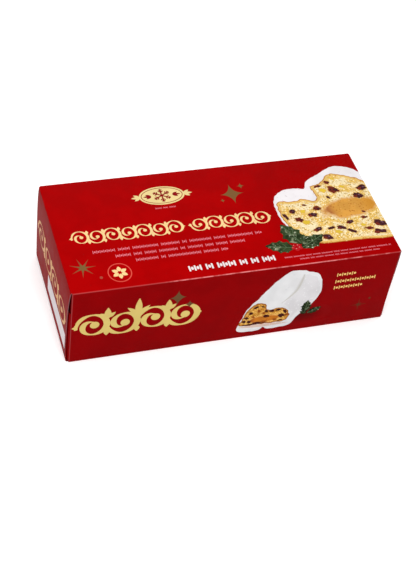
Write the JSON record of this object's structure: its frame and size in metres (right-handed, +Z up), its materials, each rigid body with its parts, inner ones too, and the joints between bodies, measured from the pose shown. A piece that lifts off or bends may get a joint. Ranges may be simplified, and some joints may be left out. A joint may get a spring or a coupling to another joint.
{
  "type": "stollen carton",
  "caption": "Long shut folding carton for a festive fruit loaf, glued flaps at both ends, one outer flap standing slightly open.",
  "frame": {"origin": "on the floor, under the middle of the carton's box", "axes": "+X along the length, away from the end whose outer flap stands open; the front panel faces -Y; +Z up through the top panel"},
  "size_m": [0.2694, 0.121, 0.077],
  "materials": {
    "printed_board": "satin",
    "cut_edge": "matte",
    "gold_print": "satin",
    "cream_print": "satin",
    "white_print": "matte",
    "pink_print": "satin",
    "picture_print": "satin"
  },
  "bodies": {
    "root": {"carton": "printed_board"}
  },
  "joints": []
}
